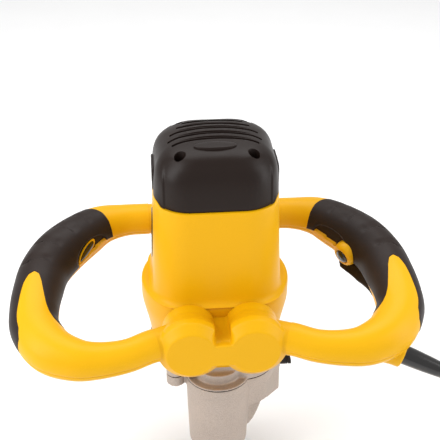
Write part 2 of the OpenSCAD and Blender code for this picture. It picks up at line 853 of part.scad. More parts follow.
module field_coils() {
  color(copper) translate([0, motor_y, 0]) for (s = [-1, 1]) difference() {
    intersection() {
      tube(39.6, 28.4, 190, 240);
      translate([s*26.5, 0, 215]) cube([28.6, 100, 60], center = true);
    }
    translate([s*40, 0, 215]) cube([200, 20, 36], center = true);
  }
}

module brush_holders() {
  color(dark_steel) both_sides() translate([15.5, motor_y - 5, brush_z - 7]) difference() {
    cube([32, 10, 14]);
    translate([-1, 1.9, 1.9]) cube([40, 6.2, 10.2]);
  }
}

module brush() {
  translate([14.1, motor_y - 3, brush_z - 5]) cube([16, 6, 10]);
}
module brush_right() { color(dark_steel) brush(); }
module brush_left() { color(dark_steel) mirror([1, 0, 0]) brush(); }

module brush_springs() {
  color(steel) both_sides() translate([30.1, motor_y, brush_z]) rotate([0, 90, 0]) coil_spring(2.4, 0.3, 6, 17.6);
}

// ---------- gear train ----------

module countershaft() {
  color(steel) translate([counter_a.x, counter_a.y, 0]) {
    rod(4, 56.2, 139);
    gear(low_pinion_n, shift_9, 65, 76.6, spindle_to_counter + 180);
    gear(high_pinion_n, 0, 93.4, 103.6, spindle_to_counter + 180);
  }
}

module counter_gear() {
  color(steel) translate([counter_a.x, counter_a.y, 0]) difference() {
    union() {
      gear(counter_n, -shift_8, 117, 129, motor_to_counter + 180 + 180/counter_n);
      rod(8, 115, 130);
    }
    rod(4.01, 110, 135);
    for (i = [0:5]) rotate(60*i) translate([15.5, 0, 0]) rod(4, 116, 130);
  }
}

module counter_bearings() {
  color(steel) translate([counter_a.x, counter_a.y, 0]) {
    bearing(9.5, 4 + run, 56.2, 64);
    bearing(9.5, 4 + run, 131, 139);
  }
}

module splines(r, w, z0, z1) {
  for (i = [0:5]) rotate(60*i) translate([0, -w/2, z0]) cube([r, w, z1 - z0]);
}

module spindle() {
  color(steel) difference() {
    union() {
      rod(12.5, 0, 22);
      rod(10, 21, 46);
      rod(spindle_r, 45, 102.6);
      rod(8, 102, 110);
      splines(10.4, 3, 62, 102.4);
    }
    rod(socket_r, -1, socket_depth);
    for (x = [-1, 1]) translate([x*11 - (x < 0 ? 4 : 0), -15, 4]) cube([4, 30, 10]);
  }
}

module gear_cluster() {
  color(steel) difference() {
    union() {
      gear(low_gear_n, -shift_9, 66, 76, spindle_to_counter + 180/low_gear_n);
      gear(high_gear_n, 0, 82, 90, spindle_to_counter + 180/high_gear_n);
      rod(14, 66, 90);
    }
    rod(spindle_r + run, 60, 95);
    splines(10.6, 3.4, 60, 95);
  }
}

module spindle_bearing_upper() {
  color(steel) bearing(14, 8 + run, 103.2, 110);
}

module spindle_bearing_lower() {
  color(steel) bearing(20, 10 + run, 31, 43);
}

module oil_seal() {
  color(black) difference() {
    rod(18.9, 25.5, 30);
    rod(10.4, 25, 31);
  }
}

top_cap();
cap_screws();
brush_caps();
motor_housing();
side_plate();
fan_housing();
front_boss();
boss_screws();
rear_bracket();
bracket_screws();
left_lower_shell();
left_upper_shell();
left_grip();
left_window();
right_lower_shell();
right_upper_shell();
right_grip();
handle_screws();
lock_bezel();
lock_button();
lock_spring();
trigger();
trigger_pin();
trigger_spring();
switch_module();
cord_boot();
cord();
cord_coil();
plug();
plug_pins();
gear_case();
gear_cover();
case_gasket();
case_screws();
bearing_plate();
selector_knob();
selector_detent();
shift_rail();
shift_fork();
armature_shaft();
armature_core();
armature_windings();
commutator();
cooling_fan();
motor_bearing_lower();
motor_bearing_upper();
stator_core();
field_coils();
brush_holders();
brush_left();
brush_right();
brush_springs();
countershaft();
counter_gear();
counter_bearings();
spindle();
gear_cluster();
spindle_bearing_upper();
spindle_bearing_lower();
oil_seal();
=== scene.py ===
"""Hand-held paddle mixer power head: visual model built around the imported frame."""
import math

import bmesh
import bpy
from mathutils import Matrix, Vector


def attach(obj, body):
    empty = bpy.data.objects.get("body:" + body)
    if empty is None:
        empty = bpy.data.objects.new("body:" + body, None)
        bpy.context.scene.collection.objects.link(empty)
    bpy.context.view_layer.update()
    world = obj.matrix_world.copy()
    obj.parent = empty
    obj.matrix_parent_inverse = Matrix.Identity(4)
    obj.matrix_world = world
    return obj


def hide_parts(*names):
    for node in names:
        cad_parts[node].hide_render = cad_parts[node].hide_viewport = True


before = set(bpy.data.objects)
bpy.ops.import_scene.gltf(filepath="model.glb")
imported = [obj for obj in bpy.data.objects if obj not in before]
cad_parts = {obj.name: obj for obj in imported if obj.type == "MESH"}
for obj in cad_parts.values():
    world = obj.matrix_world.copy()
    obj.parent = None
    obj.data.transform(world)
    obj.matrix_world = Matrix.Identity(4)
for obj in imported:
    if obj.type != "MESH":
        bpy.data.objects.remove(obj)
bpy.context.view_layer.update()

MM = 0.001

# ---------------------------------------------------------------- camera and light

CAMERA_AZIMUTH = math.radians(-4.8)
CAMERA_ELEVATION = math.radians(31)
CAMERA_TARGET = Vector((0.00478, 0.0346, 0.240))
CAMERA_DISTANCE = 0.870
CAMERA_LENS = 81.8
FLOOR_Z = 0.0


def turned_to(obj, place, target):
    obj.location = place
    obj.rotation_euler = (Vector(target) - Vector(place)).to_track_quat("-Z", "Y").to_euler()


def make_camera():
    back = Vector((math.sin(CAMERA_AZIMUTH) * math.cos(CAMERA_ELEVATION),
                   -math.cos(CAMERA_AZIMUTH) * math.cos(CAMERA_ELEVATION),
                   math.sin(CAMERA_ELEVATION)))
    data = bpy.data.cameras.new("camera")
    data.lens = CAMERA_LENS
    data.sensor_width = 36
    data.clip_start = 0.01
    camera = bpy.data.objects.new("camera", data)
    bpy.context.scene.collection.objects.link(camera)
    turned_to(camera, CAMERA_TARGET + back * CAMERA_DISTANCE, CAMERA_TARGET)
    bpy.context.scene.camera = camera


def area_light(name, place, target, size, power):
    data = bpy.data.lights.new(name, "AREA")
    data.shape = "RECTANGLE"
    data.size, data.size_y = size
    data.energy = power
    light = bpy.data.objects.new(name, data)
    bpy.context.scene.collection.objects.link(light)
    turned_to(light, place, target)


def make_studio():
    world = bpy.data.worlds.new("studio")
    bpy.context.scene.world = world
    world.use_nodes = True
    world.node_tree.nodes["Background"].inputs["Color"].default_value = (1.0, 1.0, 1.0, 1)
    world.node_tree.nodes["Background"].inputs["Strength"].default_value = 0.75
    centre = (0, 0.03, 0.2)
    area_light("key_left", (-0.9, -0.35, 0.75), centre, (0.5, 1.1), 9)
    area_light("fill_right", (1.0, -0.3, 0.55), centre, (0.5, 1.1), 6)
    area_light("top", (0.0, 0.5, 1.3), centre, (1.4, 0.7), 9)
    bpy.context.scene.view_settings.view_transform = "Standard"

    mesh = bpy.data.meshes.new("floor")
    reach = 4.0
    mesh.from_pydata([(x * reach, y * reach, FLOOR_Z) for x, y in ((-1, -1), (1, -1), (1, 1), (-1, 1))],
                     [], [(0, 1, 2, 3)])
    floor = bpy.data.objects.new("floor", mesh)
    bpy.context.scene.collection.objects.link(floor)
    mesh.materials.append(plain_paper())


# ---------------------------------------------------------------- materials

class Shader:
    """A material with its Principled shader, and short ways to add nodes to it."""

    def __init__(self, name, colour, roughness, **values):
        self.material = bpy.data.materials.new(name)
        self.material.use_nodes = True
        self.tree = self.material.node_tree
        self.shader = self.tree.nodes["Principled BSDF"]
        self.colour = colour
        self.shader.inputs["Base Color"].default_value = (*colour, 1)
        self.shader.inputs["Roughness"].default_value = roughness
        for key, value in values.items():
            self.shader.inputs[key.replace("_", " ")].default_value = value
        self.place = self.node("ShaderNodeTexCoord").outputs["Object"]

    def node(self, kind, **settings):
        made = self.tree.nodes.new(kind)
        for key, value in settings.items():
            setattr(made, key, value)
        return made

    def link(self, source, target):
        self.tree.links.new(source, target)

    def noise(self, scale, detail=3.0, roughness=0.5, stretch=None):
        """Noise with features about 1/scale metres across."""
        made = self.node("ShaderNodeTexNoise")
        made.inputs["Scale"].default_value = scale
        made.inputs["Detail"].default_value = detail
        made.inputs["Roughness"].default_value = roughness
        source = self.place
        if stretch:
            mapping = self.node("ShaderNodeMapping")
            mapping.inputs["Scale"].default_value = stretch
            self.link(self.place, mapping.inputs["Vector"])
            source = mapping.outputs["Vector"]
        self.link(source, made.inputs["Vector"])
        return made.outputs["Fac"]

    def ramp(self, source, low, high, at=(0.3, 0.7)):
        """Colour or grey that runs from low to high as source passes between the two places."""
        made = self.node("ShaderNodeValToRGB")
        for stop, value, where in zip(made.color_ramp.elements, (low, high), at):
            stop.color = (*value, 1) if isinstance(value, tuple) else (value, value, value, 1)
            stop.position = where
        self.link(source, made.inputs["Fac"])
        return made.outputs["Color"]

    def mix(self, factor, first, second):
        made = self.node("ShaderNodeMix", data_type="RGBA", blend_type="MIX")
        if isinstance(factor, float):
            made.inputs["Factor"].default_value = factor
        else:
            self.link(factor, made.inputs["Factor"])
        self.link(first, made.inputs[6])
        self.link(second, made.inputs[7])
        return made.outputs[2]

    def bump(self, source, height_mm, normal=None):
        made = self.node("ShaderNodeBump")
        made.inputs["Strength"].default_value = 1.0
        made.inputs["Distance"].default_value = height_mm * MM
        self.link(source, made.inputs["Height"])
        if normal:
            self.link(normal, made.inputs["Normal"])
        self.link(made.outputs["Normal"], self.shader.inputs["Normal"])
        return made.outputs["Normal"]

    def paint(self, source):
        self.link(source, self.shader.inputs["Base Color"])

    def roughen(self, source):
        self.link(source, self.shader.inputs["Roughness"])

    def painted_edge_highlight(self, base, highlight, amount=1.0):
        """base, turning to the painted highlight colour on the sharp outer edges."""
        pointiness = self.node("ShaderNodeNewGeometry").outputs["Pointiness"]
        # Painted highlight: the colour turns lighter on sharp convex edges, where light would catch them.
        mask = self.ramp(pointiness, 0.0, amount, at=(0.52, 0.62))
        return self.mix(mask, base, highlight)


def shade(colour, factor):
    return tuple(min(1.0, c * factor) for c in colour)


def plain_paper():
    s = Shader("floor_paper", (0.93, 0.93, 0.93), 0.9)
    s.paint(s.ramp(s.noise(9), (0.925, 0.925, 0.925), (0.94, 0.94, 0.94)))
    return s.material


def moulded_plastic(name, colour, roughness, grain_mm, mottle=0.05, coat=0.0, **values):
    """Injection-moulded plastic: spark-eroded grain, faint flow mottling and a painted highlight on sharp
    edges.
    """
    s = Shader(name, colour, roughness, Coat_Weight=coat, **values)
    flow = s.ramp(s.noise(14, 2), shade(colour, 1 - mottle), shade(colour, 1 + mottle))
    fine = s.ramp(s.noise(900, 2), shade(colour, 0.97), shade(colour, 1.03))
    body = s.mix(0.5, flow, fine)
    # Painted highlight: a lighter copy of the plastic colour laid along the sharp edges.
    edge_highlight_colour = s.ramp(s.noise(60), shade(colour, 1.15), shade(colour, 1.35))
    s.paint(s.painted_edge_highlight(body, edge_highlight_colour, 0.35))
    s.roughen(s.ramp(s.noise(35, 4), roughness - 0.05, roughness + 0.07))
    s.bump(s.noise(1600, 2), grain_mm)
    return s.material


def rubber(name, colour, roughness, grain_mm=0.03):
    s = Shader(name, colour, roughness, Specular_IOR_Level=0.18)
    dusty = s.ramp(s.noise(22, 5, 0.6), colour, shade(colour, 1.35))
    fine = s.ramp(s.noise(700, 3), shade(colour, 0.8), shade(colour, 1.25))
    s.paint(s.mix(0.4, dusty, fine))
    s.roughen(s.ramp(s.noise(40, 4), roughness - 0.06, roughness + 0.08))
    s.bump(s.noise(1300, 3), grain_mm)
    return s.material


def cast_metal(name, colour):
    """Bead-blasted die casting: sparkling grain, soft blotches and a painted highlight on sharp edges."""
    s = Shader(name, colour, 0.55, Metallic=0.55, Specular_IOR_Level=0.5)
    blotch = s.ramp(s.noise(28, 4), shade(colour, 0.88), shade(colour, 1.08))
    grains = s.ramp(s.noise(1150, 2, 0.7), shade(colour, 0.62), shade(colour, 1.3), at=(0.32, 0.68))
    body = s.mix(0.5, blotch, grains)
    # Painted highlight: a lighter copy of the metal colour laid along the sharp edges.
    bright = s.ramp(s.noise(80), shade(colour, 1.1), shade(colour, 1.3))
    s.paint(s.painted_edge_highlight(body, bright, 0.6))
    s.roughen(s.ramp(s.noise(1150, 2), 0.45, 0.68))
    normal = s.bump(s.noise(1150, 2, 0.7), 0.10)
    s.bump(s.noise(160, 3), 0.12, normal)
    return s.material


def machined_steel(name, colour, roughness=0.28, turned=True):
    """Ground or turned steel with fine marks round its axis and slight oil darkening."""
    s = Shader(name, colour, roughness, Metallic=1.0)
    marks = s.noise(500, 2, 0.6, stretch=(0.15, 0.15, 4.0) if turned else (4.0, 0.15, 0.15))
    s.paint(s.mix(0.5, s.ramp(s.noise(45, 4), shade(colour, 0.8), colour),
                  s.ramp(marks, shade(colour, 0.85), shade(colour, 1.1))))
    s.roughen(s.ramp(marks, roughness - 0.08, roughness + 0.12))
    s.bump(marks, 0.01)
    return s.material


def laminated_steel(name, colour):
    s = Shader(name, colour, 0.5, Metallic=0.7)
    sheets = s.noise(1200, 1, 0.4, stretch=(0.01, 0.01, 1.6))
    s.paint(s.ramp(sheets, shade(colour, 0.6), shade(colour, 1.3), at=(0.4, 0.6)))
    s.bump(sheets, 0.12)
    return s.material


def wound_copper(name, colour):
    s = Shader(name, colour, 0.35, Metallic=0.85, Coat_Weight=0.4)
    strands = s.noise(900, 1, 0.4, stretch=(0.3, 0.3, 1.5))
    s.paint(s.ramp(strands, shade(colour, 0.5), shade(colour, 1.25), at=(0.35, 0.65)))
    s.bump(strands, 0.25)
    return s.material


def make_materials():
    return {
        "yellow": moulded_plastic("yellow_nylon", (0.715, 0.373, 0.002), 0.38, 0.012, 0.02,
                                  coat=0.03, Coat_Roughness=0.3, Specular_IOR_Level=0.15),
        "black": moulded_plastic("black_nylon", (0.0135, 0.0078, 0.006), 0.36, 0.02, 0.12,
                                 Specular_IOR_Level=0.17),
        "gloss_black": moulded_plastic("gloss_black_nylon", (0.005, 0.004, 0.0035), 0.18, 0.004, 0.1,
                                       coat=0.3, Coat_Roughness=0.1),
        "grip": rubber("grip_rubber", (0.017, 0.0105, 0.0085), 0.46),
        "cord": rubber("cord_rubber", (0.006, 0.005, 0.0046), 0.26, 0.008),
        "cast": cast_metal("cast_aluminium", (0.47, 0.40, 0.35)),
        "black_steel": machined_steel("black_steel", (0.06, 0.06, 0.062), 0.42),
        "steel": machined_steel("bright_steel", (0.62, 0.62, 0.63)),
        "cross_steel": machined_steel("crosswise_steel", (0.62, 0.62, 0.63), turned=False),
        "laminations": laminated_steel("laminations", (0.2, 0.2, 0.21)),
        "copper": wound_copper("varnished_copper", (0.55, 0.24, 0.09)),
        "carbon": rubber("pressed_carbon", (0.05, 0.05, 0.052), 0.6, 0.05),
    }


# ---------------------------------------------------------------- mesh helpers

def smoothstep(low, high, x):
    t = min(1.0, max(0.0, (x - low) / (high - low)))
    return t * t * (3 - 2 * t)


def mesh_piece(name, points_mm, faces, material, body="machine"):
    """A piece from points in millimetres. It rides on body."""
    mesh = bpy.data.meshes.new(name)
    mesh.from_pydata([Vector(p) * MM for p in points_mm], [], faces)
    mesh.validate()
    work = bmesh.new()
    work.from_mesh(mesh)
    bmesh.ops.recalc_face_normals(work, faces=work.faces)
    work.to_mesh(mesh)
    work.free()
    piece = bpy.data.objects.new(name, mesh)
    bpy.context.scene.collection.objects.link(piece)
    mesh.polygons.foreach_set("use_smooth", [True] * len(mesh.polygons))
    if material:
        mesh.materials.append(material)
    if body:
        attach(piece, body)
    return piece


def ring_faces(rings, count, loop=False):
    """Quads between rings of count points each, with flat ends unless the rings close in a loop."""
    faces = []
    for j in range(rings if loop else rings - 1):
        a, b = j * count, ((j + 1) % rings) * count
        faces += [(a + i, a + (i + 1) % count, b + (i + 1) % count, b + i) for i in range(count)]
    if not loop:
        faces += [tuple(reversed(range(count))), tuple(range((rings - 1) * count, rings * count))]
    return faces


def loft(name, rings, material, **options):
    points, faces = skin_of(rings)
    return mesh_piece(name, points, faces, material, **options)


def skin_of(rings, loop=False):
    """Points and faces of a skin over rings that have the same number of points."""
    return [p for ring in rings for p in ring], ring_faces(len(rings), len(rings[0]), loop)


def lathe(profile, count=48):
    """Points and faces of a closed profile of (radius, height) pairs turned about Z."""
    points = [(r * math.cos(2 * math.pi * i / count), r * math.sin(2 * math.pi * i / count), z)
              for r, z in profile for i in range(count)]
    return points, ring_faces(len(profile), count, loop=True)


def turned(name, profile, place, direction, material, count=48, **options):
    """A lathe piece standing at place, in mm, with its axis along direction."""
    points, faces = lathe(profile, count)
    turn = Vector(direction).to_track_quat("Z", "Y").to_matrix()
    return mesh_piece(name, [turn @ Vector(p) + Vector(place) for p in points], faces, material, **options)


def apply_modifiers(piece):
    depsgraph = bpy.context.evaluated_depsgraph_get()
    mesh = bpy.data.meshes.new_from_object(piece.evaluated_get(depsgraph))
    piece.modifiers.clear()
    piece.data = mesh


def cut(piece, cutters):
    """Takes the cutter pieces out of piece."""
    for cutter in cutters:
        modifier = piece.modifiers.new("cut", "BOOLEAN")
        modifier.operation = "DIFFERENCE"
        modifier.solver = "EXACT"
        modifier.object = cutter
    apply_modifiers(piece)
    for cutter in cutters:
        bpy.data.objects.remove(cutter)


def soften(piece, width_mm, segments=2, angle=35):
    modifier = piece.modifiers.new("edges", "BEVEL")
    modifier.width = width_mm * MM
    modifier.segments = segments
    modifier.limit_method = "ANGLE"
    modifier.angle_limit = math.radians(angle)


def shade_by_angle(piece, degrees=35):
    work = bmesh.new()
    work.from_mesh(piece.data)
    for face in work.faces:
        face.smooth = True
    for edge in work.edges:
        if len(edge.link_faces) == 2:
            edge.smooth = edge.calc_face_angle(0) < math.radians(degrees)
    work.to_mesh(piece.data)
    work.free()


def melt(piece, voxel_mm, rounds):
    """Fuses a piece's solids into one skin and rounds its edges, as a mould does."""
    modifier = piece.modifiers.new("fuse", "REMESH")
    modifier.mode = "VOXEL"
    modifier.voxel_size = voxel_mm * MM
    modifier.use_smooth_shade = True
    smoothing = piece.modifiers.new("smooth", "SMOOTH")
    smoothing.factor = 0.5
    smoothing.iterations = rounds
    apply_modifiers(piece)
    piece.data.polygons.foreach_set("use_smooth", [True] * len(piece.data.polygons))


# ---------------------------------------------------------------- cord

CORD_D = 9.0
CORD_STEP = 2.2
CORD_ROUTE = [
    (204, -69, 134), (215, -73, 129), (224, -75, 121), (231, -77, 110), (235, -78, 99),
    (238, -78, 82), (241, -79, 64), (244, -80, 46), (249, -81, 29), (260, -82, 16),
    (275, -83, 7), (292, -84, 4.5),
]
COIL_CENTRE = (316, -25)
COIL_TURN_R = 50.0
COIL_TURNS = 5.95
LAYER_TURNS = 2.9
COIL_STEPS = 72
COIL_START = -88
TAIL_ROUTE = [(362, -45, 18), (367, -22, 22.5), (362, 2, 25), (352, 17, 27), (344, 23, 27.5), (336, 25, 27.5)]
PLUG_PLACE = (336, 25, 27.5)
BOOT_FROM = Vector((152, -50, 151))
BOOT_D = Vector((0.8963, -0.3286, -0.2988)).normalized()
BOOT_LEN = 58


def spline_at(points, s):
    i = min(max(int(math.floor(s)), 0), len(points) - 2)
    t = s - i
    a, b = points[max(i - 1, 0)], points[i]
    c, d = points[i + 1], points[min(i + 2, len(points) - 1)]
    return [0.5 * (2 * q + (r - p) * t + (2 * p - 5 * q + 4 * r - u) * t * t
                   + (3 * q - p - 3 * r + u) * t ** 3) for p, q, r, u in zip(a, b, c, d)]


def even_path(points, spacing):
    """Points about spacing apart along a line of close points."""
    path = [Vector(points[0])]
    for p in points[1:]:
        p = Vector(p)
        if (p - path[-1]).length >= spacing:
            path.append(p)
    if (Vector(points[-1]) - path[-1]).length > 0.2 * spacing:
        path.append(Vector(points[-1]))
    return path


def cord_line():
    """The cord's whole centre line in mm: down to the surface, round the coil and up to the plug."""
    line = [Vector(spline_at(CORD_ROUTE, i * 0.1)) for i in range(10 * (len(CORD_ROUTE) - 1))]
    line += coil_line()
    line += [Vector(spline_at(TAIL_ROUTE, i * 0.1)) for i in range(2, 10 * (len(TAIL_ROUTE) - 1) + 1)]
    return line


def coil_line():
    """Six turns: outer to inner on the surface, then inner to outer on top of them."""
    turns = []
    outer, inner = COIL_TURN_R + CORD_D, COIL_TURN_R - CORD_D
    for i in range(int(COIL_TURNS * COIL_STEPS) + 1):
        turn = i / COIL_STEPS
        angle = 2 * math.pi * turn + math.radians(COIL_START)
        if turn <= LAYER_TURNS:
            radius = outer - (outer - inner) * (turn / LAYER_TURNS)
            z = CORD_D / 2
        else:
            rise = smoothstep(LAYER_TURNS, LAYER_TURNS + 0.35, turn)
            radius = inner + (outer - inner - 5) * smoothstep(0, 1, (turn - LAYER_TURNS) / 3.1)
            z = CORD_D / 2 + rise * (CORD_D + 0.3)
        turns.append(Vector((COIL_CENTRE[0] + radius * math.cos(angle),
                             COIL_CENTRE[1] + radius * math.sin(angle), z)))
    return turns


def make_cord(mats):
    line = even_path(cord_line(), CORD_STEP)
    curve = bpy.data.curves.new("supply_cord", "CURVE")
    curve.dimensions = "3D"
    curve.bevel_depth = CORD_D / 2 * MM
    curve.bevel_resolution = 5
    curve.use_fill_caps = True
    spline = curve.splines.new("POLY")
    spline.points.add(len(line) - 1)
    for point, place in zip(spline.points, line):
        point.co = (*(place * MM), 1)
    curve.materials.append(mats["cord"])
    cord = bpy.data.objects.new("supply_cord", curve)
    bpy.context.scene.collection.objects.link(cord)
    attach(cord, "machine")
    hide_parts("cord", "cord_coil")

    tie = turned("cord_tie", [(10.6, -3.5), (11.6, -3.2), (11.6, 3.2), (10.6, 3.5)],
                 (COIL_CENTRE[0] + COIL_TURN_R, COIL_CENTRE[1], 11.6), (0, 1, 0), mats["black"], 32)
    boot_profile = [(4.6, BOOT_LEN + 0.5), (5.7, BOOT_LEN + 0.5), (6.2, BOOT_LEN - 0.6)]
    for i in range(5):
        z = BOOT_LEN - 4 - 3.2 * i
        boot_profile += [(6.25 + 0.05 * i, z + 1.0), (5.5 + 0.05 * i, z + 0.6), (5.5 + 0.05 * i, z - 0.4),
                         (6.3 + 0.05 * i, z - 0.8)]
    boot_profile += [(6.9, 34), (7.6, 24), (8.2, 12), (8.5, 2), (8.5, -4), (4.6, -4)]
    boot = turned("cord_boot_sleeve", boot_profile, BOOT_FROM, BOOT_D, mats["gloss_black"], 48)
    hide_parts("cord_boot")

    profile = [(0.01, -1), (5.4, -1), (6.2, -0.2), (6.6, 2.5), (7.2, 5), (8.2, 9), (9.3, 14), (9.5, 17),
               (9.5, 24), (8.9, 26), (8.9, 28), (9.5, 30), (9.5, 36.8), (8.7, 37.8), (0.01, 37.9)]
    plug = turned("plug_body", profile, PLUG_PLACE, (-1, 0, 0), mats["black"], 48)
    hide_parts("plug")


def make_neck(mats):
    """Collar on the right handle that clamps the cord's boot."""
    neck = turned("cord_neck", [
        (8.9, -22), (15.4, -22), (14.0, -14), (12.9, -8), (12.3, -3), (12.2, 0.5), (12.0, 2.2), (11.2, 3.0),
        (9.5, 3.0), (8.9, 2.3)], BOOT_FROM, BOOT_D, mats["yellow"], 64)


# ---------------------------------------------------------------- handles

LOOP_SLOPE = 0.228
ROUTE = [
    (40, -40, 169, 15), (60, -47, 169, 14), (80, -55, 167, 14), (104, -58, 166, 15.5),
    (123, -56, 167, 17.8), (143, -44, 169, 20.3), (156, -23, 174, 20.7), (158, -3, 179, 21),
    (156, 20, 184, 21.5), (151, 43, 189, 22), (138, 65, 194.5, 22.7), (118, 86, 199, 21),
    (101, 98, 202, 18), (80, 103, 203, 15), (60, 104, 203, 14.5), (40, 104, 203, 14.5),
]
ROUTE_END = len(ROUTE) - 1
SEAM_OUT, SEAM_IN = -8.0, 198.0
SHELL_T = 2.5
GRIP_PROUD = 0.35
TRIGGER_S = (7.4, 10.35)
SLOT_IN = 250.0
# Where the rubber grip starts and ends along the handle, by the angle round it: the yellow
# tongue runs up between its two long front lobes.
GRIP_NEAR = [(-8, 5.5), (30, 5.6), (46, 5.85), (55, 6.5), (60, 7.1), (65, 7.65), (73, 8.0), (85, 8.15),
             (97, 8.05), (106, 7.75), (115, 7.3), (124, 6.75), (134, 6.25), (146, 5.75), (165, 5.4),
             (200, 5.2)]
GRIP_FAR = [(-8, 11.4), (61, 11.75), (100, 12.05), (130, 12.2), (160, 12.25), (200, 12.3)]
# Angle of the grip's inner edge, below which the yellow lower shell shows.
GRIP_INNER = [(5.2, 165), (6.8, 176), (8, 194), (8.8, 198), (9.5, 197), (10.3, 190), (11, 183), (11.6, 184),
              (12.4, 190)]
GRIP_TURN = 130
SEAT_DEPTH = 3.2
SHELL_START = 0.85


def straight_between(stops, x):
    if x <= stops[0][0]:
        return stops[0][1]
    for (x0, y0), (x1, y1) in zip(stops, stops[1:]):
        if x <= x1:
            return y0 + (y1 - y0) * (x - x0) / (x1 - x0)
    return stops[-1][1]


def handle_frame(s):
    """Centre, radius, outward and upward directions of the right handle at station s."""
    here = spline_at(ROUTE, s)
    ahead = Vector(spline_at(ROUTE, min(s + 0.05, ROUTE_END - 0.001))[:3])
    behind = Vector(spline_at(ROUTE, max(s - 0.05, 0))[:3])
    along = (ahead - behind).normalized()
    out = along.cross(Vector((0, -LOOP_SLOPE, 1))).normalized()
    return Vector(here[:3]), here[3], out, out.cross(along)


def handle_at(s, phi, lift, side=1, cache={}):
    """Point lift mm off the handle's surface."""
    key = round(s, 5)
    if key not in cache:
        cache[key] = handle_frame(s)
    centre, radius, out, up = cache[key]
    a = math.radians(phi)
    point = centre + (radius + lift) * (math.cos(a) * out + math.sin(a) * up)
    return Vector((point.x * side, point.y, point.z))


def spread(low, high, count):
    return [low + (high - low) * i / (count - 1) for i in range(count)]


def grip_covers(s, phi):
    """True well inside the rubber grip, where the shell below steps down to take it."""
    for angle in (phi - 7, phi, phi + 7):
        if not straight_between(GRIP_NEAR, angle) + 0.16 < s < straight_between(GRIP_FAR, angle) - 0.16:
            return False
    return phi < straight_between(GRIP_INNER, s) - 6


def shell_rings(stations, low, high, side, across):
    rings = []
    for s, start in stations:
        start = low if start is None else start
        outer = []
        for k, phi in enumerate(spread(start, high, across)):
            edge = -0.5 if k in (0, across - 1) else 0.0
            outer.append(handle_at(s, phi, -SEAT_DEPTH if grip_covers(s, phi) else edge, side))
        inner = [handle_at(s, phi, -SHELL_T - 1.5, side) for phi in spread(high, start, across // 2)]
        rings.append(outer + inner)
    return rings


def make_shells(side, mats):
    word = "right" if side > 0 else "left"
    gap = 0.9
    shell_end = ROUTE_END - SHELL_START
    plain = [(s, None) for s in spread(SHELL_START, shell_end, 118)]
    upper = loft(word + "_handle_upper", shell_rings(plain, SEAM_OUT + gap, SEAM_IN - gap, side, 44),
                 mats["yellow"])
    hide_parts(word + "_upper_shell")
    if side > 0:
        first, last = TRIGGER_S
        stations = [(s, None) for s in spread(SHELL_START, first, 56)]
        stations += [(s, SLOT_IN) for s in spread(first + 0.001, last - 0.001, 28)]
        stations += [(s, None) for s in spread(last, shell_end, 34)]
    else:
        stations = plain
    lower = loft(word + "_handle_lower", shell_rings(stations, SEAM_IN + gap, 360 + SEAM_OUT - gap, side, 36),
                 mats["yellow"])
    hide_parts(word + "_lower_shell")
    for piece in (upper, lower):
        shade_by_angle(piece, 40)


GROOVES = (8.72, 9.56, 10.3, 10.98)
GROOVE_DEPTH = 1.3


def grip_relief(s, phi):
    """Depth of the finger scales and of the hollow beside the window, in mm."""
    depth = 0.0
    span = smoothstep(38, 58, phi) * (1 - smoothstep(98, 118, phi))
    for place in GROOVES:
        line = place + 0.0032 * (phi - 60) - 0.00006 * (phi - 82) ** 2 * 0.6
        off = s - line
        if -0.035 < off < 0.32:
            shape = smoothstep(-0.035, 0.0, off) * (1 - smoothstep(0.0, 0.32, off))
            depth += GROOVE_DEPTH * span * shape
    u, v = (s - 10.75) / 0.95, (phi - 178) / 34
    hollow = max(0.0, 1 - u * u - v * v)
    return depth + 2.6 * smoothstep(0, 0.4, hollow)


def make_grip(side, mats):
    word = "right" if side > 0 else "left"
    across, along = 120, 190
    phis = spread(SEAM_OUT + 0.4, SEAM_IN - 0.4, across)
    edge = [0.0, 0.002, 0.006, 0.012]
    ts = edge + spread(0.02, 0.98, along) + [1 - e for e in reversed(edge)]
    drop = [1.3, 0.28, 0.1, 0.02]
    rings = []
    for j, t in enumerate(ts):
        end = min(j, len(ts) - 1 - j)
        end_drop = drop[end] if end < len(drop) else 0.0
        outer, inner = [], []
        for i, phi in enumerate(phis):
            s = straight_between(GRIP_NEAR, phi) * (1 - t) + straight_between(GRIP_FAR, phi) * t
            if phi > GRIP_TURN:
                squeeze = (straight_between(GRIP_INNER, s) - GRIP_TURN) / (SEAM_IN - GRIP_TURN)
                phi = GRIP_TURN + (phi - GRIP_TURN) * squeeze
            side_edge = min(i, across - 1 - i)
            side_drop = (0.9, 0.12)[side_edge] if side_edge < 2 else 0.0
            lift = GRIP_PROUD - max(end_drop, side_drop) - grip_relief(s, phi)
            outer.append(handle_at(s, phi, lift, side))
            if i % 4 == 0 or i == across - 1:
                if end < 2:
                    under = min(-1.0, lift - 0.3)
                else:
                    under = -4.2 if GRIP_TURN < phi < 215 else -1.0
                inner.append(handle_at(s, phi, under, side))
        rings.append(outer + list(reversed(inner)))
    grip = loft(word + "_rubber_grip", rings, mats["grip"])
    shade_by_angle(grip, 50)
    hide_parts(word + "_grip")


def window_patch(name, outline, s_size, phi_size, lift, crown, sunk, material):
    """A crowned patch on the left handle. outline is a list of (u, v) points within the unit square."""
    def loop(scale, height):
        return [handle_at(WINDOW_S + u * scale * s_size, WINDOW_PHI + v * scale * phi_size, height, -1)
                for u, v in outline]
    loops = [loop(0.02, lift - sunk), loop(1.0, lift - sunk)]
    for k in range(9):
        f = k / 9
        loops.append(loop(1 - f, lift + crown * (1 - (1 - f) ** 2)))
    loops.append(loop(0.02, lift + crown))
    return loft(name, loops, material)


def lens_outline(count, swell):
    """Pointed oval between (-1, 0) and (1, 0)."""
    half = count // 2
    top = [(math.cos(math.pi * i / half), swell * math.sin(math.pi * i / half) ** 0.9) for i in range(half)]
    return top + [(-u, -v) for u, v in top]


def slant(points, shear):
    return [(u, v - shear * u) for u, v in points]


WINDOW_S, WINDOW_PHI = 10.45, 170


